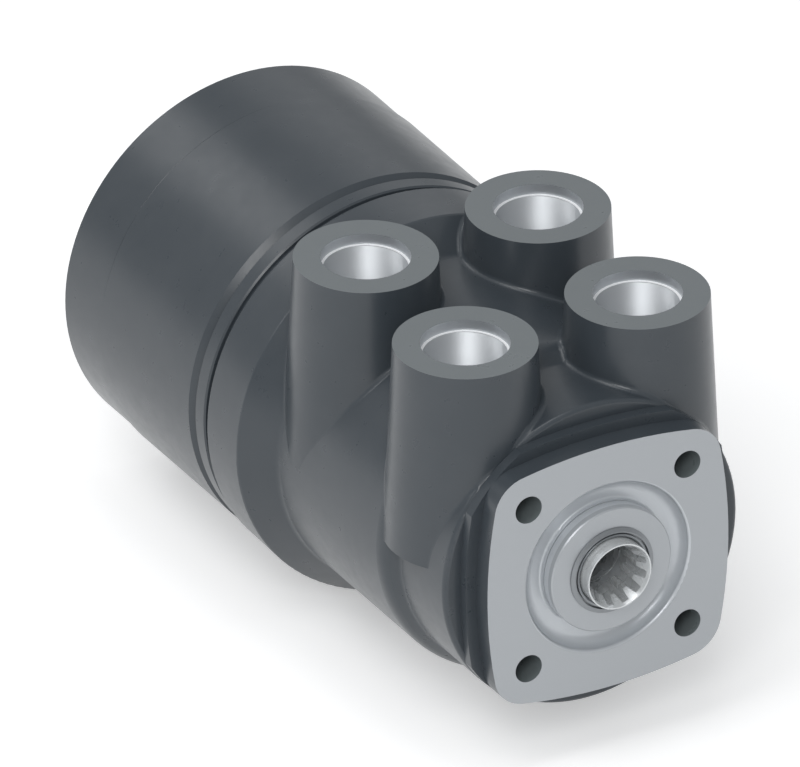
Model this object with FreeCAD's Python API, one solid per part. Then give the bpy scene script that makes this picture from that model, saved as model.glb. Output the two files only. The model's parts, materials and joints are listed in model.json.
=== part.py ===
import FreeCAD, Part
import math
import os

# Orbital steering unit: a hydraulic metering valve with a gerotor motor behind it.
# Frame: origin at the centre of the front flange face, +Y from the splined input
# to the end cover, +Z up through the port bosses, +X to the right seen from the front.
# Lengths are millimetres. Angles about the long axis start at +Z and grow towards +X.

V = FreeCAD.Vector
REAR = V(0, 1, 0)
UP = V(0, 0, 1)
RIGHT = V(1, 0, 0)

# Clearances of fits
RUN_GAP = 0.04            # rotating cylinder in its bore, radial
SLIP_GAP = 0.05           # loose axial or radial fit
SCREW_GAP = 0.3           # screw in its clearance hole, radial
GEAR_GAP = 0.1            # gear star to ring teeth
SPLINE_GAP = 0.3          # crowned shaft spline in the gear star

# Front flange
FLANGE_HALF = 33.4        # half width at the middle of a side
FLANGE_CORNER_R = 9.4
FLANGE_T = 5.5
FLANGE_HOLE_AT = 22.0
FLANGE_HOLE_R = 3.65
FLANGE_HOLE_DEEP = 14.0
PAD_STEP = 2.9            # second, larger pad behind the flange
PAD_T = 2.8
PAD_TRIM = 0.2            # pad's round trim inside the neck

# Hub and the recess round it
HUB_R = 16.6
HUB_PROUD = 1.65
HUB_CHAMFER = 0.3
HUB_LINE_Y = 2.0          # fine turned line on the hub
HUB_LINE_DEEP = 0.4
HUB_LINE_W = 0.4
RECESS_R = 22.4
RECESS_DEEP = 3.65
RECESS_EDGE = 0.9         # rounding where the recess meets the flange face
RECESS_FILLET = 3.0
RECESS_FLARE = 0.6

# Turned outline of the casting
BARREL_R = 43.8
NECK_BELOW = 3.1          # neck below the barrel
NECK_EDGE = 1.2
SHOULDER_Y = 29.5
SHOULDER_RUN = 4.0
SHOULDER_FOOT = 2.0
SHOULDER_ROUND = 6.0
DRUM_CONE_Y = 82.5
DRUM_CONE_RUN = 8.9
DRUM_R = 50.2
DRUM_DRAFT = 0.3
DRUM_END_Y = 106.3
JOINT_GROOVE_W = 2.5      # reduced land between the casting and the plate

# Port bosses, a front pair and a rear pair
BOSS_INSET = 19.9         # boss axes inside the barrel's side
BOSS_Y = (27.2, 75.0)
BOSS_TOP_Z = 55.4
BOSS_FOOT_Z = 3.0
BOSS_R = 17.65
BOSS_DRAFT = 2.5          # degrees on each side
BOSS_FILLET = 1.2         # where a boss grows out of the turned body
PORT_MOUTH_R = 10.95
PORT_MOUTH_DEEP = 2.83
PORT_R = 10.3
PORT_DEEP = 15.5
DRILL_POINT = 118.0       # included angle of a drilled bottom, degrees
PASSAGE_R = 3.6
PASSAGE_END_X = 3.9
PASSAGE_END_Z = 13.9
PASSAGE_START_Z = 41.0

# Bores along the axis
DUST_SEAL_R = 11.4
DUST_SEAL_T = 3.1
DUST_SEAL_PROUD = 0.8
WIPER_RIM = 1.2           # dust seal's rim outside its front groove
WIPER_RIM_BEVEL = 0.9
WIPER_GROOVE_W = 0.5
WIPER_GROOVE_DEEP = 1.2
WIPER_LIP_W = 0.45
WIPER_LIP_SET = 0.15      # lip's front behind the rim's
WIPER_LIP_L = 1.2
WIPER_RELIEF = 0.5        # bore behind the lip, radial
WEB_T = 1.5
WEB_BORE_R = 9.05
SEAL_R = 12.4
SEAL_POCKET_T = 2.5
BACKUP_T = 0.9
BEARING_R = 14.6
RACE_FRONT_T = 1.5
RACE_REAR_T = 1.0
NEEDLE_R = 1.0
NEEDLES = 12
NEEDLE_R_IN = 9.9
NEEDLE_R_OUT = 13.8
RACE_R_IN = 9.0
CAGE_T = 1.3

# Sleeve and spool
SLEEVE_R = 14.0
SPOOL_R = 10.5
SPOOL_NOSE_R = 8.75
SPOOL_NOSE_PROUD = 5.7
SPOOL_BORE_R = 8.0
NOSE_WALL = 0.35          # rim left round the socket's conical entry
ENTRY_DEEP = 3.6
SPLINE_TEETH = 12
SPLINE_TIP_R = 6.6
SPLINE_END_Y = 4.0
SPLINE_TIP_W = 1.15
SPLINE_ROOT_W = 2.5
SPLINE_SUNK = 0.15        # tooth's foot inside the wall
BORE_LINE_Y = 7.6
BORE_LINE_W = 0.4
BORE_LINE_DEEP = 0.3
DRAIN_HOLE_Y = 12.2
DRAIN_HOLE_R = 1.0
DRAIN_HOLES = 12
DRAIN_TURN = 15.0         # first drain hole from +Z, degrees
GROOVE_Y = (44.0, 54.0, 66.0, 80.0)   # front left, front right, rear left, rear right
GROOVE_W = 5.0
GROOVE_R = 16.2
SLEEVE_HOLES = 6
SLEEVE_HOLE_R = 1.4
COMMUTE_Y = 94.0
COMMUTE_HOLES = 12
COMMUTE_HOLE_R = 1.3
METER_SLOT_W = 3.2
METER_SLOT_DEEP = 1.3

# Centring springs, their ring and the cross pin
SPRING_Y = 19.0
SPRING_H = 6.5
SPRING_T = 0.5
SPRING_REACH = 12.8
SPRING_BOW = 1.1
WINDOW_HALF_W = 2.8
WINDOW_H = 7.0
SPRING_RING_T = 0.62
SPRING_RING_W = 9.0
PIN_Y = 32.0
PIN_R = 3.0
PIN_BELOW = 0.4           # pin's end below the sleeve's surface
PIN_SLOT_R = 5.0          # hole in the spool that lets it twist on the pin
PIN_CHAMFER = 0.4

# Gear set
LOBES = 6
TEETH = 7
TOOTH_INSET = 11.0        # screw circle to the circle of the ring teeth's centres
TOOTH_R = 6.5
ECCENTRICITY = 2.4
CHAMBER_INSET = 0.8       # teeth's centres to the chambers' outer wall
CHAMBER_FILLET = 1.5
TOOTH_ANGLE = 180.0 / TEETH
GEAR_L = 44.9
STAR_SIDE_GAP = 0.03
POINTS_PER_LOBE = 16      # steps of the star's outline over one lobe

# Stack behind the casting: plate, gear ring and end cover share one outer size
STACK_R = 49.1            # end cover
PLATE_PROUD = 0.1         # plate's and ring's edges beyond the cover's
RING_PROUD = 0.4
LAND_BELOW = 1.1          # reduced lands of the casting and the ring
SCREW_WALL = 1.8          # least wall outside a washer's seat
PLATE_T = 4.6
PLATE_HOLE_R = 10.0
PLATE_CHAMFER = 0.4
SLOT_L = 5.5              # between the centres of a slot's round ends
SLOT_HALF_W = 2.4
SLOT_INSET = 0.8          # slot's outer end inside the chamber's wall
RING_NECK_W = 0.9
RING_CHAMFER = 1.5
COVER_T = 18.3
COVER_CHAMFER = 0.8
O_RING_W = 2.6
O_RING_WALL = 1.5         # groove to the screw holes
O_RING_DEEP = 1.9
O_RING_SIDE = 0.1

# Screws M8 with washers, sunk in the end cover
SCREWS = TEETH
SCREW_R = 4.0
SCREW_L = 75.0
SCREW_HEAD_R = 6.5
SCREW_HEAD_H = 8.0
SCREW_KEY = 6.0           # across the flats of the hexagon socket
SCREW_KEY_DEEP = 4.0
SCREW_SUNK = 0.3
SCREW_CHAMFER = 0.8
WASHER_R = 7.0
WASHER_T = 1.0
TAPPED_EXTRA = 1.2        # tapped hole beyond the screw's end

# Drive shaft between the cross pin and the gear star
FORK_R = 7.0
FORK_FRONT = 7.0          # fork ahead of the pin
FORK_BACK = 10.0
FORK_SEAT_PLAY = 0.25     # seat deeper than the pin, so the fork can rock
SHANK_R = 4.8
SHAFT_HEAD_L = 17.0
SHAFT_HEAD_IN = 11.6      # middle of the spline head behind the star's front
SHAFT_SPLINE_ROOT = 7.9
SHAFT_SPLINE_TIP = 9.1
SHAFT_TOOTH_W = 1.9
SHAFT_CROWN = 0.35
SHAFT_COLLAR_L = 6.0
SPACER_SIDE_GAP = 0.5     # spacer to the star's spline
SPACER_GAP = 0.2
SPACER_HOLE_R = 3.0

# Check valve in the rear face
CHECK_R = 4.6
CHECK_WALL = 0.3          # bore to the face seal's groove
CHECK_BALL_R = 4.25
CHECK_BALL_GAP = 0.02     # ball to its seat and to the stop, along Y
CHECK_SEAT_R = 2.2
CHECK_PATH_END_Y = 77.0
CHECK_LIFT = 1.2
STOP_T = 6.0
STOP_BELOW = 0.5
STOP_KEY = 4.0

# Places that follow from the sizes above
PAD_END_Y = FLANGE_T + PAD_T
NECK_R = BARREL_R - NECK_BELOW
BOSS_X = BARREL_R - BOSS_INSET
SEAT_Y = DUST_SEAL_T - HUB_PROUD              # inner end of the dust seal
WEB_END_Y = SEAT_Y + WEB_T
BEARING_Y = WEB_END_Y + SEAL_POCKET_T
NEEDLE_Y = BEARING_Y + RACE_FRONT_T + NEEDLE_R
BEARING_END_Y = NEEDLE_Y + NEEDLE_R + RACE_REAR_T
SLEEVE_Y = BEARING_END_Y + SLIP_GAP
REAR_FACE_Y = DRUM_END_Y + JOINT_GROOVE_W
VALVE_END_Y = REAR_FACE_Y - 2 * SLIP_GAP
RING_Y = REAR_FACE_Y + PLATE_T
COVER_Y = RING_Y + GEAR_L
SHAFT_HEAD_AT = RING_Y + SHAFT_HEAD_IN
END_Y = COVER_Y + COVER_T
HEAD_Y = END_Y - SCREW_SUNK - SCREW_HEAD_H
WASHER_Y = HEAD_Y - WASHER_T
SCREW_END_Y = HEAD_Y - SCREW_L
BORE_R = SLEEVE_R + RUN_GAP
SLEEVE_BORE_R = SPOOL_R + RUN_GAP
PIN_REACH = SLEEVE_R - PIN_BELOW
PLATE_R = STACK_R + PLATE_PROUD
RING_R = STACK_R + RING_PROUD
LAND_R = STACK_R - LAND_BELOW
SCREW_AT = STACK_R - SCREW_WALL - WASHER_R - SCREW_GAP
O_RING_R_IN = SCREW_AT - SCREW_R - SCREW_GAP - O_RING_WALL - O_RING_W
TOOTH_AT = SCREW_AT - TOOTH_INSET
CHAMBER_R = TOOTH_AT - CHAMBER_INSET
SLOT_R_OUT = CHAMBER_R - SLOT_INSET - SLOT_HALF_W
SLOT_R_IN = SLOT_R_OUT - SLOT_L
STAR_BORE_R = SHAFT_SPLINE_TIP + SPLINE_GAP
STAR_SPLINE_R = SHAFT_SPLINE_ROOT + SPLINE_GAP
SPACER_Y = SHAFT_HEAD_AT + SHAFT_HEAD_L / 2 + 1.0
SHAFT_TILT = math.degrees(math.atan2(ECCENTRICITY, SHAFT_HEAD_AT - PIN_Y))
CHECK_AT = O_RING_R_IN - CHECK_R - CHECK_WALL
CHECK_X = CHECK_AT * math.sin(math.radians(TOOTH_ANGLE))
CHECK_Z = CHECK_AT * math.cos(math.radians(TOOTH_ANGLE))
STOP_END_Y = REAR_FACE_Y - STOP_BELOW
STOP_Y = STOP_END_Y - STOP_T
BALL_Y = STOP_Y - CHECK_BALL_GAP - CHECK_LIFT - CHECK_BALL_R
# Mouth of the 45 degree seat
CHECK_SEAT_Y = BALL_Y - CHECK_BALL_GAP - CHECK_BALL_R * math.sqrt(2) + CHECK_R


def polar(radius, angle, y=0.0):
    a = math.radians(angle)
    return V(radius * math.sin(a), y, radius * math.cos(a))


def rounded_wire(corners):
    """Closed wire through (point, radius) corners, each rounded by a tangent arc."""
    starts, ends, arcs = [], [], []
    count = len(corners)
    for i, (p, r) in enumerate(corners):
        before = (corners[i - 1][0] - p).normalize()
        after = (corners[(i + 1) % count][0] - p).normalize()
        if r <= 0:
            starts.append(p)
            ends.append(p)
            arcs.append(None)
            continue
        half = before.getAngle(after) / 2
        reach = r / math.tan(half)
        middle = p + (before + after).normalize() * (r / math.sin(half) - r)
        starts.append(p + before * reach)
        ends.append(p + after * reach)
        arcs.append(middle)
    edges = []
    for i in range(count):
        if arcs[i]:
            edges.append(Part.Arc(starts[i], arcs[i], ends[i]).toShape())
        nxt = starts[(i + 1) % count]
        if (nxt - ends[i]).Length > 1e-6:
            edges.append(Part.LineSegment(ends[i], nxt).toShape())
    return Part.Wire(edges)


def turned(profile):
    """Solid of revolution about the Y axis from (y, radius) or (y, radius, round) corners."""
    corners = [(V(p[1], p[0], 0), p[2] if len(p) > 2 else 0) for p in profile]
    return Part.Face(rounded_wire(corners)).revolve(V(0, 0, 0), REAR, 360)


def tube(r_in, r_out, y0, y1):
    return turned([(y0, r_in), (y0, r_out), (y1, r_out), (y1, r_in)])


def rod(radius, y0, y1, centre=V(0, 0, 0)):
    return Part.makeCylinder(radius, y1 - y0, centre + V(0, y0, 0), REAR)


def drilled(radius, start, end):
    """Cylinder from one point to another."""
    along = end - start
    return Part.makeCylinder(radius, along.Length, start, along)


def drill_point(radius, mouth_y, bottom_y, centre=V(0, 0, 0)):
    """Blind hole from its mouth towards the front, with a conical bottom."""
    deep = radius / math.tan(math.radians(DRILL_POINT / 2))
    hole = rod(radius, bottom_y, mouth_y, centre)
    cone = Part.makeCone(0, radius, deep, centre + V(0, bottom_y - deep, 0), REAR)
    return hole.fuse(cone)


def around(shape, count, start=0.0):
    """Copies of a shape turned about the long axis."""
    copies = []
    for i in range(count):
        copy = shape.copy()
        copy.rotate(V(0, 0, 0), REAR, start + 360.0 * i / count)
        copies.append(copy)
    return copies


def prism(points, y0, y1):
    """Straight prism along Y over (x, z) points."""
    corners = [V(x, y0, z) for x, z in points]
    return Part.Face(Part.makePolygon(corners + corners[:1])).extrude(V(0, y1 - y0, 0))


def spline_teeth(count, root_r, tip_r, root_w, tip_w, y0, y1):
    points = [(-root_w / 2, root_r), (-tip_w / 2, tip_r), (tip_w / 2, tip_r), (root_w / 2, root_r)]
    return around(prism(points, y0, y1), count)


def hexagon(flats, y0, y1, centre):
    r = flats / math.sqrt(3)
    points = [(centre.x + r * math.sin(math.radians(60 * k)),
               centre.z + r * math.cos(math.radians(60 * k))) for k in range(6)]
    return prism(points, y0, y1)


def box(x, y, z):
    """Box from three (low, high) spans."""
    return Part.makeBox(x[1] - x[0], y[1] - y[0], z[1] - z[0], V(x[0], y[0], z[0]))


def flange_outline(half, corner_r, y):
    """Square with bowed sides and corner arcs round the bolt holes."""
    a = FLANGE_HOLE_AT
    rise = half - a
    bow_r = (a * a + rise * rise - corner_r * corner_r) / (2 * (rise - corner_r))
    bow_centre = V(0, y, half - bow_r)
    reach = (V(a, y, a) - bow_centre).normalize() * bow_r
    joint = bow_centre + reach
    side = Part.Arc(V(-joint.x, y, joint.z), V(0, y, half), joint).toShape()
    tip = V(a, y, a) + V(1, 0, 1).normalize() * corner_r
    corner = Part.Arc(joint, tip, V(joint.z, y, joint.x)).toShape()
    edges = [e for pair in zip(around(side, 4), around(corner, 4)) for e in pair]
    return Part.Face(Part.Wire(edges))


def is_boss(face):
    surface = face.Surface
    return surface.TypeId == "Part::GeomCone" and abs(surface.Axis.z) > 0.9


def boss_feet(body):
    """Edges where the drafted bosses grow out of the turned body."""
    beside = {}
    for face in body.Faces:
        for edge in face.Edges:
            beside.setdefault(edge.hashCode(), []).append(face)
    feet = []
    for edge in body.Edges:
        faces = beside[edge.hashCode()]
        flat = any(face.Surface.TypeId == "Part::GeomPlane" for face in faces)
        if not flat and {is_boss(face) for face in faces} == {True, False}:
            feet.append(edge)
    return feet


def casting_body():
    """The flange, the turned body and the four drafted port columns as one casting."""
    flange = flange_outline(FLANGE_HALF, FLANGE_CORNER_R, 0).extrude(V(0, FLANGE_T, 0))
    pad = flange_outline(FLANGE_HALF + PAD_STEP, FLANGE_CORNER_R + PAD_STEP, FLANGE_T)
    pad = pad.extrude(V(0, PAD_T, 0)).common(rod(NECK_R - PAD_TRIM, FLANGE_T, PAD_END_Y))
    body = turned([
        (FLANGE_T / 2, 0), (FLANGE_T / 2, HUB_R), (PAD_END_Y, HUB_R),
        (PAD_END_Y, NECK_R, NECK_EDGE),
        (SHOULDER_Y, NECK_R, SHOULDER_FOOT),
        (SHOULDER_Y + SHOULDER_RUN, BARREL_R, SHOULDER_ROUND),
        (DRUM_CONE_Y, BARREL_R, 3.0),
        (DRUM_CONE_Y + DRUM_CONE_RUN, DRUM_R, 1.2),
        (DRUM_END_Y, DRUM_R - DRUM_DRAFT, 0.3),
        (DRUM_END_Y, LAND_R),
        (REAR_FACE_Y, LAND_R),
        (REAR_FACE_Y, 0)])
    foot_r = BOSS_R + (BOSS_TOP_Z - BOSS_FOOT_Z) * math.tan(math.radians(BOSS_DRAFT))
    bosses = [
        Part.makeCone(foot_r, BOSS_R, BOSS_TOP_Z - BOSS_FOOT_Z, V(x, y, BOSS_FOOT_Z), UP)
        for x in (-BOSS_X, BOSS_X) for y in BOSS_Y]
    hub = turned([
        (-HUB_PROUD, 0), (-HUB_PROUD, HUB_R - HUB_CHAMFER), (HUB_CHAMFER - HUB_PROUD, HUB_R),
        (FLANGE_T, HUB_R), (FLANGE_T, 0)])
    body = body.fuse([flange, pad, hub] + bosses).removeSplitter()
    return body.makeFillet(BOSS_FILLET, boss_feet(body))


def axial_cavity():
    """Everything bored on the axis: seal seats, bearing pocket, valve bore and its grooves."""
    corners = [
        (-HUB_PROUD - 1, 0), (-HUB_PROUD - 1, DUST_SEAL_R), (SEAT_Y, DUST_SEAL_R),
        (SEAT_Y, WEB_BORE_R), (WEB_END_Y, WEB_BORE_R), (WEB_END_Y, SEAL_R),
        (BEARING_Y, SEAL_R), (BEARING_Y, BEARING_R), (BEARING_END_Y, BEARING_R),
        (BEARING_END_Y, BORE_R)]
    for y in GROOVE_Y:
        low, high = y - GROOVE_W / 2, y + GROOVE_W / 2
        corners += [(low, BORE_R), (low, GROOVE_R), (high, GROOVE_R), (high, BORE_R)]
    corners += [(REAR_FACE_Y + 1, BORE_R), (REAR_FACE_Y + 1, 0)]
    return turned(corners)


def front_recess():
    rim = RECESS_R + 2 * RECESS_EDGE
    return turned([
        (-1, HUB_R), (-1, rim), (0, rim), (0, RECESS_R, RECESS_EDGE),
        (RECESS_DEEP, RECESS_R, RECESS_FILLET), (RECESS_DEEP, HUB_R, RECESS_FLARE)])


def port_cuts():
    """Port mouths, threaded bores with drilled bottoms, and the passages to the grooves."""
    cuts = []
    places = [(side, y) for y in BOSS_Y for side in (-1, 1)]
    for (side, y), groove_y in zip(places, GROOVE_Y):
        top = V(side * BOSS_X, y, BOSS_TOP_Z)
        bottom = top - UP * PORT_DEEP
        point = PORT_R / math.tan(math.radians(DRILL_POINT / 2))
        cuts.append(Part.makeCylinder(PORT_MOUTH_R, PORT_MOUTH_DEEP + 1, top - UP * PORT_MOUTH_DEEP))
        cuts.append(Part.makeCylinder(PORT_R, PORT_DEEP, bottom))
        cuts.append(Part.makeCone(0, PORT_R, point, bottom - UP * point))
        start = V(side * BOSS_X, y, PASSAGE_START_Z)
        end = V(side * PASSAGE_END_X, groove_y, PASSAGE_END_Z)
        cuts.append(drilled(PASSAGE_R, start, end))
    return cuts


def rear_cuts():
    """Tapped holes, the oblique drillings to the gear chambers and the seal groove."""
    cuts = []
    hole = drill_point(SCREW_R + SLIP_GAP, REAR_FACE_Y + 1, SCREW_END_Y - TAPPED_EXTRA,
                       polar(SCREW_AT, 0))
    cuts += around(hole, SCREWS, TOOTH_ANGLE)
    middle = (SLOT_R_IN + SLOT_R_OUT) / 2
    start = polar(middle, 0, REAR_FACE_Y)
    end = polar(BORE_R - 1, 0, COMMUTE_Y)
    start = start + (start - end).normalize() * 2
    cuts += around(drilled(SLOT_HALF_W, start, end), TEETH)
    cuts.append(o_ring_groove(REAR_FACE_Y, -1))
    return cuts


def check_valve_cuts():
    """Ball seat in the rear face, drilled on to the passage of the rear right port."""
    centre = V(CHECK_X, 0, CHECK_Z)
    foot_y = CHECK_SEAT_Y - CHECK_R + CHECK_SEAT_R
    return [rod(CHECK_R, CHECK_SEAT_Y, REAR_FACE_Y + 1, centre),
            Part.makeCone(CHECK_SEAT_R, CHECK_R, CHECK_SEAT_Y - foot_y, centre + V(0, foot_y, 0), REAR),
            rod(CHECK_SEAT_R, CHECK_PATH_END_Y, CHECK_SEAT_Y, centre)]


def o_ring_groove(y, side):
    """Groove for a face seal, sunk from the plane at y towards the front or the rear."""
    y0, y1 = sorted((y - side * 0.5, y + side * O_RING_DEEP))
    return tube(O_RING_R_IN, O_RING_R_IN + O_RING_W, y0, y1)


def o_ring(y, side):
    """Face seal as it lies squeezed in its groove."""
    y0, y1 = sorted((y, y + side * O_RING_DEEP))
    r0, r1 = O_RING_R_IN + O_RING_SIDE, O_RING_R_IN + O_RING_W - O_RING_SIDE
    bulge = O_RING_DEEP / 2 - 0.1
    return turned([(y0, r0, bulge), (y0, r1, bulge), (y1, r1, bulge), (y1, r0, bulge)])


def housing():
    holes = [rod(FLANGE_HOLE_R, -1, FLANGE_HOLE_DEEP, V(x, 0, z))
             for x in (-FLANGE_HOLE_AT, FLANGE_HOLE_AT) for z in (-FLANGE_HOLE_AT, FLANGE_HOLE_AT)]
    line = tube(HUB_R - HUB_LINE_DEEP, HUB_R + 0.5, HUB_LINE_Y, HUB_LINE_Y + HUB_LINE_W)
    body = casting_body().cut([front_recess(), line] + holes)
    body = body.cut(port_cuts())
    body = body.cut(rear_cuts() + check_valve_cuts())
    return body.cut(axial_cavity())


def dust_seal():
    """Wiper pressed in the hub, with a lip that runs on the spool's nose."""
    front = -HUB_PROUD - DUST_SEAL_PROUD
    groove_y = front + WIPER_GROOVE_DEEP
    rim_r = DUST_SEAL_R - WIPER_RIM
    lip_r = SPOOL_NOSE_R + 2 * RUN_GAP
    lip_y = front + WIPER_LIP_SET
    edge_y = lip_y + WIPER_LIP_W
    relief_r = lip_r + WIPER_RELIEF
    relief_y = edge_y + WIPER_LIP_L + WIPER_RELIEF
    return turned([
        (SEAT_Y, DUST_SEAL_R), (front + WIPER_RIM_BEVEL / 2, DUST_SEAL_R),
        (front, DUST_SEAL_R - WIPER_RIM_BEVEL), (front, rim_r), (groove_y, rim_r),
        (groove_y, rim_r - WIPER_GROOVE_W), (lip_y, rim_r - WIPER_GROOVE_W),
        (lip_y, rim_r - WIPER_GROOVE_W - WIPER_LIP_W), (edge_y, lip_r),
        (edge_y + WIPER_LIP_L, lip_r), (relief_y, relief_r), (SEAT_Y, relief_r)])


def seal_backup_ring():
    return tube(WEB_BORE_R, SEAL_R - SLIP_GAP, WEB_END_Y, WEB_END_Y + BACKUP_T)


def shaft_seal():
    """Four-lobed pressure seal behind the backup ring."""
    y0, y1 = WEB_END_Y + BACKUP_T, BEARING_Y
    mid = (y0 + y1) / 2
    r0, r1 = SPOOL_NOSE_R + RUN_GAP, SEAL_R - RUN_GAP
    return turned([
        (y0, r0, 0.3), (y0, r1, 0.3), (mid, r1 - 0.4, 0.2), (y1, r1, 0.3),
        (y1, r0, 0.3), (mid, r0 + 0.4, 0.2)])


def bearing_front_race():
    return tube(RACE_R_IN, BEARING_R - SLIP_GAP, BEARING_Y, BEARING_Y + RACE_FRONT_T)


def bearing_rear_race():
    return tube(RACE_R_IN, BEARING_R - SLIP_GAP, BEARING_END_Y - RACE_REAR_T, BEARING_END_Y)


def bearing_needles():
    length = NEEDLE_R_OUT - NEEDLE_R_IN
    needle = Part.makeCylinder(NEEDLE_R - 0.01, length, V(0, NEEDLE_Y, NEEDLE_R_IN), UP)
    return Part.makeCompound(around(needle, NEEDLES))


def bearing_cage():
    ring = tube(RACE_R_IN + 0.2, BEARING_R - 0.3, NEEDLE_Y - CAGE_T / 2, NEEDLE_Y + CAGE_T / 2)
    half = NEEDLE_R + SLIP_GAP
    slot = box((-half, half), (NEEDLE_Y - CAGE_T, NEEDLE_Y + CAGE_T),
               (NEEDLE_R_IN - SLIP_GAP, NEEDLE_R_OUT + SLIP_GAP))
    return ring.cut(around(slot, NEEDLES))


def spring_window(reach):
    """Rectangular window through both walls of the spool or the sleeve."""
    return box((-reach, reach), (SPRING_Y - WINDOW_H / 2, SPRING_Y + WINDOW_H / 2),
               (-WINDOW_HALF_W, WINDOW_HALF_W))


def sleeve():
    """Valve sleeve with the spring ring's seat, a pin hole and its rows of ports."""
    ring_r = SLEEVE_R - RUN_GAP - SPRING_RING_T
    low, high = SPRING_Y - SPRING_RING_W / 2, SPRING_Y + SPRING_RING_W / 2
    body = turned([
        (SLEEVE_Y, SLEEVE_BORE_R), (SLEEVE_Y, SLEEVE_R), (low, SLEEVE_R), (low, ring_r),
        (high, ring_r), (high, SLEEVE_R), (VALVE_END_Y, SLEEVE_R), (VALVE_END_Y, SLEEVE_BORE_R)])
    cuts = [spring_window(SLEEVE_R + 1),
            drilled(PIN_R + 0.01, V(-SLEEVE_R - 1, PIN_Y, 0), V(SLEEVE_R + 1, PIN_Y, 0))]
    rows = [(y, SLEEVE_HOLES, SLEEVE_HOLE_R) for y in GROOVE_Y]
    rows.append((COMMUTE_Y, COMMUTE_HOLES, COMMUTE_HOLE_R))
    for y, count, radius in rows:
        cuts += around(drilled(radius, V(0, y, SPOOL_R - 1), V(0, y, SLEEVE_R + 1)), count)
    return body.cut(cuts)


def spool():
    """Hollow spool: splined nose, drain holes, spring window, pin slots and meter slots."""
    front = -SPOOL_NOSE_PROUD
    line_r = SPOOL_BORE_R + BORE_LINE_DEEP
    body = turned([
        (front, SPOOL_BORE_R), (front, SPOOL_NOSE_R), (BEARING_END_Y, SPOOL_NOSE_R),
        (SLEEVE_Y, SPOOL_R), (VALVE_END_Y, SPOOL_R), (VALVE_END_Y, SPOOL_BORE_R),
        (BORE_LINE_Y + BORE_LINE_W, SPOOL_BORE_R), (BORE_LINE_Y + BORE_LINE_W, line_r),
        (BORE_LINE_Y, line_r), (BORE_LINE_Y, SPOOL_BORE_R)])
    body = body.fuse(spline_teeth(SPLINE_TEETH, SPOOL_BORE_R + SPLINE_SUNK, SPLINE_TIP_R,
                                  SPLINE_ROOT_W, SPLINE_TIP_W, front, SPLINE_END_Y))
    entry_r = SPOOL_NOSE_R - NOSE_WALL
    cuts = [Part.makeCone(entry_r, SPLINE_TIP_R, ENTRY_DEEP, V(0, front, 0), REAR),
            spring_window(SPOOL_R + 1),
            drilled(PIN_SLOT_R, V(-SPOOL_R - 1, PIN_Y, 0), V(SPOOL_R + 1, PIN_Y, 0))]
    drain = drilled(DRAIN_HOLE_R, V(0, DRAIN_HOLE_Y, SPLINE_TIP_R), V(0, DRAIN_HOLE_Y, SPOOL_R + 1))
    cuts += around(drain, DRAIN_HOLES, DRAIN_TURN)
    half = METER_SLOT_W / 2
    for first, last, turn in ((0, 1, 0), (2, 3, 30)):
        slot = box((-half, half), (GROOVE_Y[first] - half, GROOVE_Y[last] + half),
                   (SPOOL_R - METER_SLOT_DEEP, SPOOL_R + 1))
        cuts += around(slot, LOBES, turn)
    return body.cut(cuts)


def cross_pin():
    pin = turned([
        (-PIN_REACH, 0), (-PIN_REACH, PIN_R - PIN_CHAMFER), (PIN_CHAMFER - PIN_REACH, PIN_R),
        (PIN_REACH - PIN_CHAMFER, PIN_R), (PIN_REACH, PIN_R - PIN_CHAMFER), (PIN_REACH, 0)])
    pin.rotate(V(0, 0, 0), UP, 90)
    pin.translate(V(0, PIN_Y, 0))
    return pin


def spring_ring():
    r1 = SLEEVE_R - RUN_GAP
    half = SPRING_RING_W / 2 - SLIP_GAP
    return tube(r1 - SPRING_RING_T + 0.01, r1, SPRING_Y - half, SPRING_Y + half)


def leaf(z_middle, z_end):
    """Bowed leaf spring lying across the spool, bent the same way on both ends."""
    y = SPRING_Y - SPRING_H / 2
    x = SPRING_REACH
    t = SPRING_T
    inner = Part.Arc(V(-x, y, z_end), V(0, y, z_middle), V(x, y, z_end)).toShape()
    outer = Part.Arc(V(-x, y, z_end + t), V(0, y, z_middle + t), V(x, y, z_end + t)).toShape()
    ends = [Part.LineSegment(V(s * x, y, z_end), V(s * x, y, z_end + t)).toShape() for s in (-1, 1)]
    wire = Part.Wire(Part.__sortEdges__([inner, ends[1], outer, ends[0]]))
    return Part.Face(wire).extrude(V(0, SPRING_H, 0))


def centring_springs():
    leaves = []
    for layer in range(2):
        low = SPRING_T + 0.02 + layer * (SPRING_T + 0.02)
        upper = leaf(low, low + SPRING_BOW)
        lower = upper.copy()
        lower.rotate(V(0, SPRING_Y, 0), REAR, 180)
        leaves += [upper, lower]
    return Part.makeCompound(leaves)


def spring_plates():
    y = (SPRING_Y - SPRING_H / 2, SPRING_Y + SPRING_H / 2)
    x = (-SPRING_REACH, SPRING_REACH)
    return Part.makeCompound([box(x, y, (0.01, SPRING_T)), box(x, y, (-SPRING_T, -0.01))])


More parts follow.
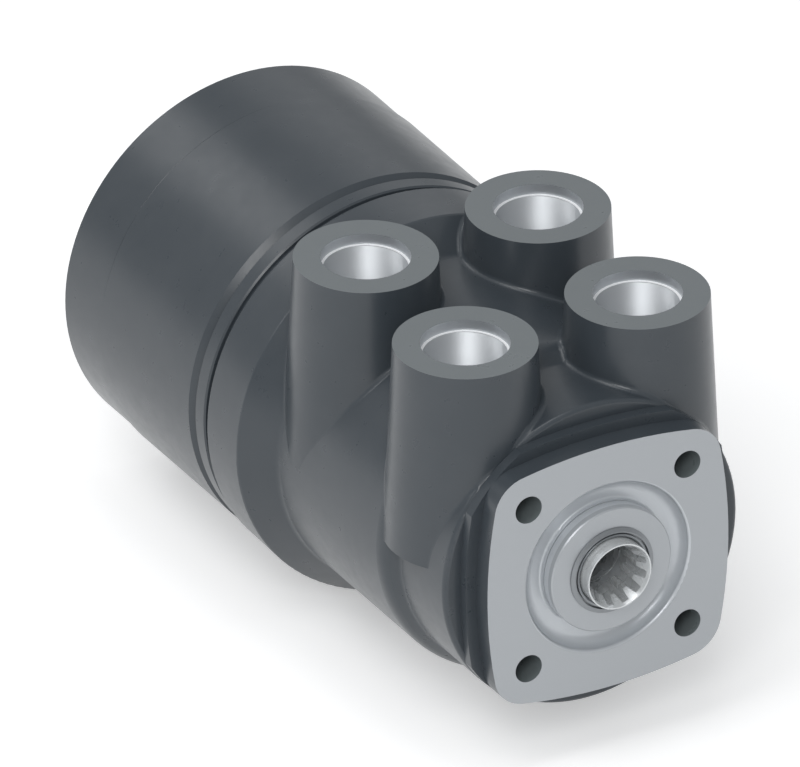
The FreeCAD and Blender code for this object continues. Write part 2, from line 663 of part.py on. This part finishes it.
def drive_shaft():
    """Cardan shaft: a fork over the cross pin, a slim shank and a crowned spline head."""
    head0 = SHAFT_HEAD_AT - SHAFT_HEAD_L / 2
    head1 = SHAFT_HEAD_AT + SHAFT_HEAD_L / 2
    fork0, fork1 = PIN_Y - FORK_FRONT, PIN_Y + FORK_BACK
    body = turned([
        (fork0, 0), (fork0, FORK_R, 1.2), (fork1, FORK_R, 1.5), (fork1 + 4, SHANK_R, 3),
        (head0 - SHAFT_COLLAR_L, SHANK_R, 3), (head0, SHAFT_SPLINE_ROOT, 0.5),
        (head1, SHAFT_SPLINE_ROOT, 0.8), (head1, 0)])
    teeth = spline_teeth(SPLINE_TEETH, SHAFT_SPLINE_ROOT - 0.5, SHAFT_SPLINE_TIP + 0.5,
                         SHAFT_TOOTH_W + 0.5, SHAFT_TOOTH_W - 0.6, head0 + 0.8, head1 - 1)
    crown = Part.Arc(V(SHAFT_SPLINE_TIP - SHAFT_CROWN, head0, 0), V(SHAFT_SPLINE_TIP, SHAFT_HEAD_AT, 0),
                     V(SHAFT_SPLINE_TIP - SHAFT_CROWN, head1, 0)).toShape()
    axis = [V(0, head1, 0), V(0, head0, 0)]
    sides = Part.makePolygon([crown.Vertexes[1].Point] + axis + [crown.Vertexes[0].Point])
    barrel = Part.Face(Part.Wire([crown] + sides.Edges)).revolve(V(0, 0, 0), REAR, 360)
    body = body.fuse([t.common(barrel) for t in teeth])
    slot = PIN_R + SLIP_GAP
    seat_y = PIN_Y + FORK_SEAT_PLAY
    mouth = box((-FORK_R - 1, FORK_R + 1), (fork0 - 1, seat_y), (-slot, slot))
    seat = drilled(slot, V(-FORK_R - 1, seat_y, 0), V(FORK_R + 1, seat_y, 0))
    body = body.cut([mouth, seat])
    body.rotate(V(0, PIN_Y, 0), RIGHT, SHAFT_TILT)
    return body


def ring_tooth_outline():
    """Closed outline of the ring gear's bore: convex teeth joined by filleted chambers."""
    pitch = 360.0 / TEETH
    a, b, c = CHAMBER_R - CHAMBER_FILLET, TOOTH_AT, TOOTH_R + CHAMBER_FILLET
    swing = math.degrees(math.acos((a * a + b * b - c * c) / (2 * a * b)))
    centre = polar(TOOTH_AT, 0)

    def side(sign):
        fillet = polar(a, sign * swing)
        low = centre + (fillet - centre).normalize() * TOOTH_R
        high = polar(CHAMBER_R, sign * swing)
        turn = (low - fillet).normalize() + (high - fillet).normalize()
        return low, fillet + turn.normalize() * CHAMBER_FILLET, high

    left, right = side(-1), side(1)
    chamber_end = polar(CHAMBER_R, pitch - swing)
    edges = [Part.Arc(left[2], left[1], left[0]), Part.Arc(left[0], polar(TOOTH_AT - TOOTH_R, 0), right[0]),
             Part.Arc(right[0], right[1], right[2]),
             Part.Arc(right[2], polar(CHAMBER_R, pitch / 2), chamber_end)]
    whole = []
    for i in range(TEETH):
        for arc in edges:
            edge = arc.toShape()
            edge.rotate(V(0, 0, 0), REAR, TOOTH_ANGLE + i * pitch)
            whole.append(edge)
    return Part.Wire(whole)


def gear_ring():
    edge = PLATE_CHAMFER
    body = turned([
        (RING_Y, 0), (RING_Y, LAND_R), (RING_Y + RING_NECK_W, LAND_R),
        (RING_Y + RING_NECK_W + RING_CHAMFER, RING_R), (COVER_Y - edge / 2, RING_R),
        (COVER_Y, RING_R - edge / 2), (COVER_Y, 0)])
    bore = Part.Face(ring_tooth_outline()).extrude(V(0, GEAR_L + 2, 0))
    bore.translate(V(0, RING_Y - 1, 0))
    holes = around(rod(SCREW_R + SCREW_GAP, RING_Y - 1, COVER_Y + 1, polar(SCREW_AT, 0)),
                   SCREWS, TOOTH_ANGLE)
    return body.cut([bore] + holes)


def star_outline(y):
    """Lobed outline that stays in contact with the round ring teeth while the star orbits.

    In the star's own frame each tooth centre runs along one closed curve, so the outline
    is that curve set in by the tooth's radius."""
    offset = TOOTH_R + GEAR_GAP
    phase = -TEETH * math.radians(TOOTH_ANGLE)
    count = LOBES * POINTS_PER_LOBE
    points = []
    for i in range(count):
        t = 2 * math.pi * i / count
        s = TEETH * t + phase
        x = TOOTH_AT * math.sin(t) - ECCENTRICITY * math.sin(s)
        z = TOOTH_AT * math.cos(t) - ECCENTRICITY * math.cos(s)
        dx = TOOTH_AT * math.cos(t) - TEETH * ECCENTRICITY * math.cos(s)
        dz = -TOOTH_AT * math.sin(t) + TEETH * ECCENTRICITY * math.sin(s)
        speed = math.hypot(dx, dz)
        points.append(V(x + offset * dz / speed, y, z - offset * dx / speed))
    curve = Part.BSplineCurve()
    curve.interpolate(Points=points, PeriodicFlag=True)
    return Part.Face(Part.Wire([curve.toShape()]))


def gear_star():
    """Six-lobed rotor with an internal spline for the drive shaft, centred off the axis."""
    y0, y1 = RING_Y + STAR_SIDE_GAP, COVER_Y - STAR_SIDE_GAP
    body = star_outline(y0).extrude(V(0, y1 - y0, 0))
    bore = rod(STAR_BORE_R, y0 - 1, y1 + 1)
    space = math.pi * (STAR_BORE_R + STAR_SPLINE_R) / SPLINE_TEETH - SHAFT_TOOTH_W - 2 * SPLINE_GAP
    teeth = spline_teeth(SPLINE_TEETH, STAR_BORE_R + 0.3, STAR_SPLINE_R, space + 0.4, space - 0.4,
                         y0, SPACER_Y - SPACER_SIDE_GAP)
    shift = 180.0 / SPLINE_TEETH
    for tooth in teeth:
        tooth.rotate(V(0, 0, 0), REAR, shift)
    body = body.cut(bore).fuse(teeth)
    body.translate(V(0, 0, ECCENTRICITY))
    return body


def star_spacer():
    spacer = turned([
        (SPACER_Y, SPACER_HOLE_R), (SPACER_Y, STAR_BORE_R - SPACER_GAP, 0.8),
        (COVER_Y - 2 * SLIP_GAP, STAR_BORE_R - SPACER_GAP, 0.8), (COVER_Y - 2 * SLIP_GAP, SPACER_HOLE_R)])
    spacer.translate(V(0, 0, ECCENTRICITY))
    return spacer


def distributor_plate():
    """Flat plate that passes each drilling on to a gear chamber."""
    y0, y1, c = REAR_FACE_Y, RING_Y, PLATE_CHAMFER
    body = turned([
        (y0, PLATE_HOLE_R), (y0, PLATE_R - c), (y0 + c, PLATE_R), (y1 - c, PLATE_R),
        (y1, PLATE_R - c), (y1, PLATE_HOLE_R)])
    span = (y0 - 1, y1 + 1)
    cuts = around(rod(SCREW_R + SCREW_GAP, *span, polar(SCREW_AT, 0)), SCREWS, TOOTH_ANGLE)
    slot = box((-SLOT_HALF_W, SLOT_HALF_W), span, (SLOT_R_IN, SLOT_R_OUT))
    for radius in (SLOT_R_IN, SLOT_R_OUT):
        slot = slot.fuse(rod(SLOT_HALF_W, *span, polar(radius, 0)))
    cuts += around(slot.removeSplitter(), TEETH)
    cuts.append(o_ring_groove(y1, -1))
    return body.cut(cuts)


def end_cover():
    body = turned([
        (COVER_Y, 0), (COVER_Y, STACK_R - COVER_CHAMFER / 2), (COVER_Y + COVER_CHAMFER / 2, STACK_R),
        (END_Y - COVER_CHAMFER, STACK_R), (END_Y, STACK_R - COVER_CHAMFER), (END_Y, 0)])
    hole = rod(SCREW_R + SCREW_GAP, COVER_Y - 1, END_Y, polar(SCREW_AT, 0))
    seat = rod(WASHER_R + SCREW_GAP, WASHER_Y, END_Y + 1, polar(SCREW_AT, 0))
    return body.cut(around(hole, SCREWS, TOOTH_ANGLE) + around(seat, SCREWS, TOOTH_ANGLE)
                    + [o_ring_groove(COVER_Y, 1)])


def cover_screws():
    """Socket-head screws, each clamping the whole stack to the casting."""
    screw = turned([
        (SCREW_END_Y, 0), (SCREW_END_Y, SCREW_R - SCREW_CHAMFER), (SCREW_END_Y + SCREW_CHAMFER, SCREW_R),
        (HEAD_Y, SCREW_R), (HEAD_Y, SCREW_HEAD_R),
        (HEAD_Y + SCREW_HEAD_H, SCREW_HEAD_R, SCREW_CHAMFER), (HEAD_Y + SCREW_HEAD_H, 0)])
    top = HEAD_Y + SCREW_HEAD_H
    screw = screw.cut(hexagon(SCREW_KEY, top - SCREW_KEY_DEEP, top + 1, V(0, 0, 0)))
    screw.translate(polar(SCREW_AT, 0))
    return Part.makeCompound(around(screw, SCREWS, TOOTH_ANGLE))


def screw_washers():
    washer = tube(SCREW_R + SCREW_GAP, WASHER_R, WASHER_Y, HEAD_Y)
    washer.translate(polar(SCREW_AT, 0))
    return Part.makeCompound(around(washer, SCREWS, TOOTH_ANGLE))


def check_ball():
    """Steel ball resting on its conical seat."""
    return Part.makeSphere(CHECK_BALL_R, V(CHECK_X, BALL_Y, CHECK_Z))


def ball_stop():
    """Threaded bushing that keeps the check ball in, just below the rear face."""
    centre = V(CHECK_X, 0, CHECK_Z)
    return rod(CHECK_R - SLIP_GAP, STOP_Y, STOP_END_Y, centre).cut(
        hexagon(STOP_KEY, STOP_Y - 1, STOP_END_Y + 1, centre))


def housing_o_ring():
    return o_ring(REAR_FACE_Y, -1)


def plate_o_ring():
    return o_ring(RING_Y, -1)


def cover_o_ring():
    return o_ring(COVER_Y, 1)


PIECES = (housing, dust_seal, seal_backup_ring, shaft_seal, bearing_front_race, bearing_cage,
          bearing_needles, bearing_rear_race, spool, sleeve, cross_pin, spring_ring,
          centring_springs, spring_plates, drive_shaft, check_ball, ball_stop, housing_o_ring,
          distributor_plate, plate_o_ring, gear_ring, gear_star, star_spacer, cover_o_ring,
          end_cover, cover_screws, screw_washers)

os.makedirs("parts", exist_ok=True)
for piece in PIECES:
    piece().exportStep("parts/" + piece.__name__ + ".step")
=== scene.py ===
import json
import math

import bpy
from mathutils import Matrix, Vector


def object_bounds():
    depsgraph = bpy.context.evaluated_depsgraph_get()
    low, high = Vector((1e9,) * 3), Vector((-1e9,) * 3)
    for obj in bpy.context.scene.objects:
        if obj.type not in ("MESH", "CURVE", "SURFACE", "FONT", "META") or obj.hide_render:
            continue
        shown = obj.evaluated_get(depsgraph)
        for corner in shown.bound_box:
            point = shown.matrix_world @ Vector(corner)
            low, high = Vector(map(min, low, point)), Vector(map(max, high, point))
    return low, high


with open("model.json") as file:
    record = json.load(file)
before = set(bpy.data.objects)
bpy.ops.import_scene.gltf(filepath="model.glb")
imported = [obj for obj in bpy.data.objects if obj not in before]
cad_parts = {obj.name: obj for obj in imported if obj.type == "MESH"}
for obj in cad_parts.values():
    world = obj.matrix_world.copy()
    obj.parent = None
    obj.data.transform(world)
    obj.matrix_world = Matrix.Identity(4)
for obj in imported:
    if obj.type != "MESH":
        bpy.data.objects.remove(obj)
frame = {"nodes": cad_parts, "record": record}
cad_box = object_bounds()
NODES = frame["nodes"]

# The photograph's view: parallel projection, from the left of the front and above
IMAGE_WIDTH = 800
IMAGE_HEIGHT = 767
PIXELS_PER_M = 4162.0
FLANGE_PIXEL = (608.0, 566.51)      # where the flange's centre lies in the photograph
VIEW_AZIMUTH = -30.0
VIEW_ELEVATION = 30.0
CAMERA_AWAY = 1.2
CAMERA_CLIP = (0.01, 20)

FLOOR_GAP = 0.0002
FLOOR_SIZE = 12.0
FLOOR_COLOUR = (0.86, 0.86, 0.86, 1.0)
FLOOR_ROUGHNESS = 0.9
FLOOR_GLOW = 0.38                   # added where the floor is seen, directly or in metal

# Places on the housing that are machined, in metres, the ports from the frame's own mounts
MOUNTS = {m["name"]: m for m in frame["record"]["mounts"]}
PORTS = [m["pos_m"] for name, m in MOUNTS.items() if name.startswith("port_")]
PORT_X = abs(PORTS[0][0])
PORT_Y = sorted({p[1] for p in PORTS})
PORT_MOUTH_R = 0.01098       # just outside the mouths' walls
PORT_LOW_Z = 0.028           # below the drilled points
PORT_TOP_Z = 0.05538         # just below the bosses' tops
PORT_SEAT_Z = 0.05257        # the step between the wider mouth and the bore
PORT_GLINT_BAND = 0.00006          # how far from it still counts as the seat's edge, the band of the painted highlight line
PORT_WALL_Z = (0.0400, 0.0524)      # the bore's straight wall
FACE_Y = 0.00005             # just behind the front face
RECESS_R = 0.02336           # rim of the recess round the hub
RECESS_Y = 0.0045            # behind its floor
BORE_R = 0.0175              # outside the bores along the axis
WALL_PLAY = 0.00005          # so that a hole's wall counts as inside it
BOLTS = MOUNTS["column_flange"]["dims"]
BOLT_AT = BOLTS["spacing_x_mm"] / 2000
BOLT_R = BOLTS["hole_r_mm"] / 1000 + WALL_PLAY
BOLT_DEEP = 0.0145           # behind the flange holes' straight walls

# The noise values between which a look goes from one end to the other
NOISE_SPAN = (0.3, 0.7)
PATCH_SPAN = (0.35, 0.7)

# Noise: scale per metre and detail
NOISE_ROUGHNESS = 0.55
PAINT_PATCHES = (70.0, 4.0)
PAINT_SATIN = (260.0, 5.0)
FACE_SATIN = (900.0, 3.0)
STEEL_TONE = (400.0, 3.0)
STEEL_SATIN = (300.0, 1.0)
PLAIN_TONE = (500.0, 4.0)
PLAIN_SATIN = (1200.0, 4.0)

# Noise bumps: scale per metre, detail, roughness, height in metres, strength
PAINT_WAVES = (300.0, 1.0, 0.5, 0.00005, 0.15)
STACK_GRAIN = (1800.0, 3.0, 0.55, 0.00001, 0.25)
PLAIN_GRAIN = (3000.0, 2.0, 0.55, 0.000008, 0.2)

# Turning marks: radians per metre, height in metres, strength
FACE_RINGS = (22000.0, 0.000004, 0.25)
STEEL_RINGS = (18000.0, 0.000003, 0.1)
MARK_PITCH = 0.0002          # marks in the port bores
MARK_SLOPE = 0.8

# Roughness, as one value or from and to, and how metallic the casting's bare places are
PAINT_GLOSS = (0.27, 0.33)
FACE_GLOSS = (0.30, 0.38)
PORT_GLOSS = 0.46
FACE_METALLIC = 0.35
PORT_METALLIC = 0.95
# how metallic the painted highlight line round the port seats is
EDGE_GLINT_METALLIC = 0.3
STEEL_SHADE = 0.92           # the darker tone, as a share of the colour
PLAIN_SHADE = 0.85

# Lamps: degrees to the right of the camera, degrees up, watts
LAMP_AWAY = 1.1
LAMP_SIZE = 0.4
WORLD_COLOUR = (0.96, 0.98, 1.0, 1.0)
WORLD_LIGHT = 0.45
LAMPS = {
    "front": (-4, 35, 3.3),
    "side": (-90, 35, 1.3),
    "key": (-40, 62, 1.8),
    "top": (0, 85, 1.3),
    "rim": (-135, 35, 0.85),
    "back": (180, 25, 0.2),
}


def toward(azimuth, elevation):
    """Unit vector from the object, in degrees to the right of its front and up."""
    a, e = math.radians(azimuth), math.radians(elevation)
    return Vector((math.sin(a) * math.cos(e), -math.cos(a) * math.cos(e), math.sin(e)))


def make_camera():
    back = toward(VIEW_AZIMUTH, VIEW_ELEVATION)
    right = toward(VIEW_AZIMUTH + 90, 0)
    up = back.cross(right)
    across = (IMAGE_WIDTH / 2 - FLANGE_PIXEL[0]) / PIXELS_PER_M
    above = (FLANGE_PIXEL[1] - IMAGE_HEIGHT / 2) / PIXELS_PER_M
    data = bpy.data.cameras.new("camera")
    data.type = "ORTHO"
    data.ortho_scale = IMAGE_WIDTH / PIXELS_PER_M
    data.clip_start, data.clip_end = CAMERA_CLIP
    camera = bpy.data.objects.new("camera", data)
    camera.location = right * across + up * above + back * CAMERA_AWAY
    camera.rotation_mode = "QUATERNION"
    camera.rotation_quaternion = (-back).to_track_quat("-Z", "Y")
    bpy.context.scene.collection.objects.link(camera)
    bpy.context.scene.camera = camera


class Graph:
    """Short calls for the nodes of one material."""

    def __init__(self, tree):
        self.tree = tree

    def node(self, kind, inputs=(), **settings):
        made = self.tree.nodes.new("ShaderNode" + kind)
        for name, value in settings.items():
            setattr(made, name, value)
        for key, value in dict(inputs).items():
            self.set(made.inputs[key], value)
        return made

    def set(self, socket, value):
        if isinstance(value, bpy.types.NodeSocket):
            self.tree.links.new(value, socket)
        else:
            socket.default_value = value

    def math(self, operation, a, b=0.0, c=0.0):
        return self.node("Math", {0: a, 1: b, 2: c}, operation=operation).outputs[0]

    def ramp(self, value, span, to=(0.0, 1.0)):
        made = self.node("MapRange", {"Value": value, "From Min": span[0], "From Max": span[1],
                                      "To Min": to[0], "To Max": to[1]})
        return made.outputs["Result"]

    def blend(self, factor, a, b, kind="FLOAT"):
        """Mix numbers, or colours with RGBA, or directions with VECTOR."""
        made = self.node("Mix", {"Factor": factor, "A": a, "B": b}, data_type=kind)
        return made.outputs["Result"]

    def mix(self, factor, a, b):
        return self.blend(factor, a, b, "RGBA")

    def place(self):
        return self.node("TexCoord").outputs["Object"]

    def axes(self):
        return self.node("SeparateXYZ", {0: self.place()}).outputs

    def length(self, a, b):
        square = self.math("ADD", self.math("MULTIPLY", a, a), self.math("MULTIPLY", b, b))
        return self.math("SQRT", square)

    def both(self, a, b):
        """One where both masks are one."""
        return self.math("MULTIPLY", a, b)

    def between(self, value, low, high):
        return self.both(self.math("GREATER_THAN", value, low), self.math("LESS_THAN", value, high))

    def noise(self, scale, detail, rough=NOISE_ROUGHNESS):
        made = self.node("TexNoise", {"Vector": self.place(), "Scale": scale,
                                      "Detail": detail, "Roughness": rough})
        return made.outputs["Fac"]

    def uneven(self, noise, to=(0.0, 1.0)):
        """A value that wanders from one number to another over the surface."""
        return self.ramp(self.noise(*noise), NOISE_SPAN, to)

    def bump(self, height, distance, strength=1.0):
        made = self.node("Bump", {"Height": height, "Distance": distance, "Strength": strength})
        return made.outputs["Normal"]

    def grain(self, values):
        scale, detail, rough, height, strength = values
        return self.bump(self.noise(scale, detail, rough), height, strength)

    def turned(self, value, marks):
        """Turning marks that follow each other along a value."""
        pitch, height, strength = marks
        wave = self.math("SINE", self.math("MULTIPLY", value, pitch))
        return self.bump(wave, height, strength)


def rgb(r, g, b):
    return (r, g, b, 1.0)


def darker(colour, share):
    return tuple(share * c for c in colour[:3]) + (1.0,)


def start(name):
    material = bpy.data.materials.new(name)
    material.use_nodes = True
    return material, Graph(material.node_tree), material.node_tree.nodes["Principled BSDF"]


PAINT = rgb(0.046, 0.056, 0.066)
PAINT_WORN = rgb(0.052, 0.062, 0.072)
PORT_FACE = rgb(0.140, 0.157, 0.165)
MACHINED = rgb(0.415, 0.435, 0.455)
# Painted light: the recess floor is coloured lighter than the front face, to lift the shade of the
# groove round the hub
RECESS_PAINTED_LIGHT = rgb(0.56, 0.585, 0.61)
PORT_METAL = rgb(0.56, 0.58, 0.60)
# Painted shade: the ports' wider mouths are a little darker than the bores below them
PORT_MOUTH_SHADED = rgb(0.52, 0.54, 0.56)
# Painted highlight: a near-white line round the seat between each port's mouth and bore
PORT_EDGE_HIGHLIGHT = rgb(0.95, 0.96, 0.97)
# Painted light: the flange holes' walls are lighter than the paint, to lift the shade deep in the
# holes
BOLT_WALL_PAINTED_LIGHT = rgb(0.17, 0.195, 0.20)


def paint_colour(g):
    return g.mix(g.ramp(g.noise(*PAINT_PATCHES), PATCH_SPAN), PAINT, PAINT_WORN)


def paint_roughness(g):
    return g.uneven(PAINT_SATIN, PAINT_GLOSS)


def bored_bump(g, axes):
    """Thread-like marks on the port bores' walls, whose flanks face the mouth."""
    flanks = g.math("FRACT", g.math("MULTIPLY", axes["Z"], -1 / MARK_PITCH))
    wall = g.between(axes["Z"], *PORT_WALL_Z)
    return g.bump(g.math("MULTIPLY", flanks, wall), MARK_PITCH * MARK_SLOPE)


def bolt_hole(g, axes):
    """One inside the four flange holes, whose walls get painted light."""
    x = g.math("SUBTRACT", g.math("ABSOLUTE", axes["X"]), BOLT_AT)
    z = g.math("SUBTRACT", g.math("ABSOLUTE", axes["Z"]), BOLT_AT)
    inside = g.math("LESS_THAN", g.length(x, z), BOLT_R)
    return g.both(inside, g.math("LESS_THAN", axes["Y"], BOLT_DEEP))


def port_bore(g, axes):
    """One inside the four ports."""
    x = g.math("SUBTRACT", g.math("ABSOLUTE", axes["X"]), PORT_X)
    y = g.math("MINIMUM", g.math("ABSOLUTE", g.math("SUBTRACT", axes["Y"], PORT_Y[0])),
               g.math("ABSOLUTE", g.math("SUBTRACT", axes["Y"], PORT_Y[1])))
    inside = g.math("LESS_THAN", g.length(x, y), PORT_MOUTH_R)
    return g.both(inside, g.between(axes["Z"], PORT_LOW_Z, PORT_TOP_Z))


def casting_paint(g, axes):
    """The paint's colour, with the lighter tops of the bosses, and the flange holes' walls lighter
    than the paint as painted light that lifts the shade inside them.
    """
    top = g.math("GREATER_THAN", axes["Z"], PORT_TOP_Z)
    paint = g.mix(top, paint_colour(g), PORT_FACE)
    return g.mix(bolt_hole(g, axes), paint, BOLT_WALL_PAINTED_LIGHT)


def casting_metal(g, axes, recess, port, edge_glint):
    """The bare metal's colour on the face, in the recess round the hub and in the ports, with
    painted light lifting the recess floor, painted shade darkening the ports' wider mouths and a
    painted highlight line round the seat between mouth and bore.
    """
    # the recess floor behind the face takes the painted light
    lit_recess = g.both(recess, g.math("GREATER_THAN", axes["Y"], FACE_Y))
    face_and_lit_recess = g.mix(lit_recess, MACHINED, RECESS_PAINTED_LIGHT)
    # the wider mouth above the seat takes the painted shade
    shaded_mouth = g.math("GREATER_THAN", axes["Z"], PORT_SEAT_Z)
    bored = g.mix(edge_glint, g.mix(shaded_mouth, PORT_METAL, PORT_MOUTH_SHADED), PORT_EDGE_HIGHLIGHT)
    return g.mix(port, face_and_lit_recess, bored)


def make_casting():
    """Paint, with bare machined metal on the front face, the recess, the ports and the bores, and
    painted light and shade in the recess, the ports and the flange holes.
    """
    material, g, bsdf = start("casting")
    axes = g.axes()
    radius = g.length(axes["X"], axes["Z"])
    face = g.math("LESS_THAN", axes["Y"], FACE_Y)
    recess = g.both(g.math("LESS_THAN", radius, RECESS_R), g.math("LESS_THAN", axes["Y"], RECESS_Y))
    bores = g.math("LESS_THAN", radius, BORE_R)
    port = port_bore(g, axes)
    # a thin band at the seat's height, painted as a bright highlight line
    edge_glint = g.math("COMPARE", axes["Z"], PORT_SEAT_Z, PORT_GLINT_BAND)
    bare = g.math("MAXIMUM", g.math("MAXIMUM", face, recess), g.math("MAXIMUM", bores, port))
    metal = casting_metal(g, axes, recess, port, edge_glint)
    g.set(bsdf.inputs["Base Color"], g.mix(bare, casting_paint(g, axes), metal))
    gloss = g.blend(port, g.uneven(FACE_SATIN, FACE_GLOSS), PORT_GLOSS)
    g.set(bsdf.inputs["Roughness"], g.blend(bare, paint_roughness(g), gloss))
    metallic = g.blend(port, FACE_METALLIC, g.blend(edge_glint, PORT_METALLIC, EDGE_GLINT_METALLIC))
    g.set(bsdf.inputs["Metallic"], g.math("MULTIPLY", bare, metallic))
    marks = g.blend(port, g.turned(radius, FACE_RINGS), bored_bump(g, axes), "VECTOR")
    g.set(bsdf.inputs["Normal"], g.blend(bare, g.grain(PAINT_WAVES), marks, "VECTOR"))
    return material


def make_stack_paint():
    """The same paint with a finer grain, on the turned pieces behind the casting."""
    material, g, bsdf = start("stack_paint")
    g.set(bsdf.inputs["Base Color"], paint_colour(g))
    g.set(bsdf.inputs["Roughness"], paint_roughness(g))
    g.set(bsdf.inputs["Normal"], g.grain(STACK_GRAIN))
    return material


def make_steel(name, colour, gloss, metallic=1.0, turned=True):
    """Machined steel of uneven gloss, with fine turning marks where it is turned."""
    material, g, bsdf = start(name)
    bsdf.inputs["Metallic"].default_value = metallic
    shade = darker(colour, STEEL_SHADE)
    g.set(bsdf.inputs["Base Color"], g.mix(g.uneven(STEEL_TONE), colour, shade))
    g.set(bsdf.inputs["Roughness"], g.uneven(STEEL_SATIN, gloss))
    if turned:
        g.set(bsdf.inputs["Normal"], g.turned(g.axes()["Y"], STEEL_RINGS))
    return material


def make_plain(name, colour, gloss, metallic=0.0):
    """Rubber, plastic, black oxide or spring steel with a fine grain."""
    material, g, bsdf = start(name)
    bsdf.inputs["Metallic"].default_value = metallic
    shade = darker(colour, PLAIN_SHADE)
    g.set(bsdf.inputs["Base Color"], g.mix(g.noise(*PLAIN_TONE), colour, shade))
    g.set(bsdf.inputs["Roughness"], g.uneven(PLAIN_SATIN, gloss))
    g.set(bsdf.inputs["Normal"], g.grain(PLAIN_GRAIN))
    return material


def make_looks():
    """One material for each slot of the record."""
    return {
        "casting": make_casting(),
        "stack_paint": make_stack_paint(),
        "valve_steel": make_steel("valve_steel", rgb(0.68, 0.70, 0.71), (0.22, 0.32), 0.45),
        "gear_steel": make_steel("gear_steel", rgb(0.56, 0.57, 0.58), (0.28, 0.40)),
        "bearing_steel": make_steel("bearing_steel", rgb(0.68, 0.69, 0.70), (0.12, 0.22),
                                    turned=False),
        "spring_steel": make_plain("spring_steel", rgb(0.32, 0.34, 0.38), (0.30, 0.42), 1.0),
        "nitrile": make_plain("nitrile", rgb(0.025, 0.025, 0.027), (0.45, 0.60)),
        "wiper": make_plain("wiper", rgb(0.27, 0.285, 0.30), (0.32, 0.42), 0.6),
        "ptfe": make_plain("ptfe", rgb(0.72, 0.71, 0.68), (0.40, 0.55)),
        "screw_black": make_plain("screw_black", rgb(0.04, 0.042, 0.045), (0.35, 0.50), 0.6),
        "washer_steel": make_steel("washer_steel", rgb(0.55, 0.55, 0.55), (0.30, 0.42),
                                   turned=False),
    }


def dress_nodes():
    looks = make_looks()
    for part in frame["record"]["subparts"]:
        node = NODES[part["node"]]
        node.data.materials.clear()
        node.data.materials.append(looks[part["material_slot"]])


def make_floor_material():
    """White, and lifted to the background's white for the rays that look at it."""
    material, g, bsdf = start("floor")
    g.set(bsdf.inputs["Base Color"], FLOOR_COLOUR)
    bsdf.inputs["Roughness"].default_value = FLOOR_ROUGHNESS
    white = g.node("Emission", {"Color": rgb(1, 1, 1), "Strength": FLOOR_GLOW})
    lifted = g.node("AddShader", {0: white.outputs[0], 1: bsdf.outputs[0]})
    rays = g.node("LightPath").outputs
    seen = g.math("MAXIMUM", rays["Is Camera Ray"], rays["Is Transmission Ray"])
    seen = g.math("MAXIMUM", seen, rays["Is Glossy Ray"])
    shown = g.node("MixShader", {0: seen, 1: bsdf.outputs[0], 2: lifted.outputs[0]})
    surface = next(n for n in g.tree.nodes if n.type == "OUTPUT_MATERIAL")
    g.set(surface.inputs["Surface"], shown.outputs[0])
    return material


def make_floor():
    mesh = bpy.data.meshes.new("floor")
    s = FLOOR_SIZE / 2
    z = cad_box[0].z - FLOOR_GAP
    mesh.from_pydata([(-s, -s, z), (s, -s, z), (s, s, z), (-s, s, z)], [], [(0, 1, 2, 3)])
    floor = bpy.data.objects.new("floor", mesh)
    bpy.context.scene.collection.objects.link(floor)
    floor.data.materials.append(make_floor_material())


def area_light(name, right, up, power):
    """Square lamp aimed at the middle of the object."""
    data = bpy.data.lights.new(name, "AREA")
    data.size = LAMP_SIZE
    data.energy = power
    lamp = bpy.data.objects.new(name, data)
    direction = toward(VIEW_AZIMUTH + right, up)
    middle = (cad_box[0] + cad_box[1]) / 2
    lamp.location = middle + direction * LAMP_AWAY
    lamp.rotation_mode = "QUATERNION"
    lamp.rotation_quaternion = (-direction).to_track_quat("-Z", "Y")
    bpy.context.scene.collection.objects.link(lamp)


def make_lights():
    world = bpy.data.worlds.new("studio")
    world.use_nodes = True
    bpy.context.scene.world = world
    background = world.node_tree.nodes["Background"]
    background.inputs["Color"].default_value = WORLD_COLOUR
    background.inputs["Strength"].default_value = WORLD_LIGHT
    for name, (right, up, power) in LAMPS.items():
        area_light(name, right, up, power)


make_camera()
dress_nodes()
make_floor()
make_lights()
bpy.context.scene.view_settings.view_transform = "Standard"
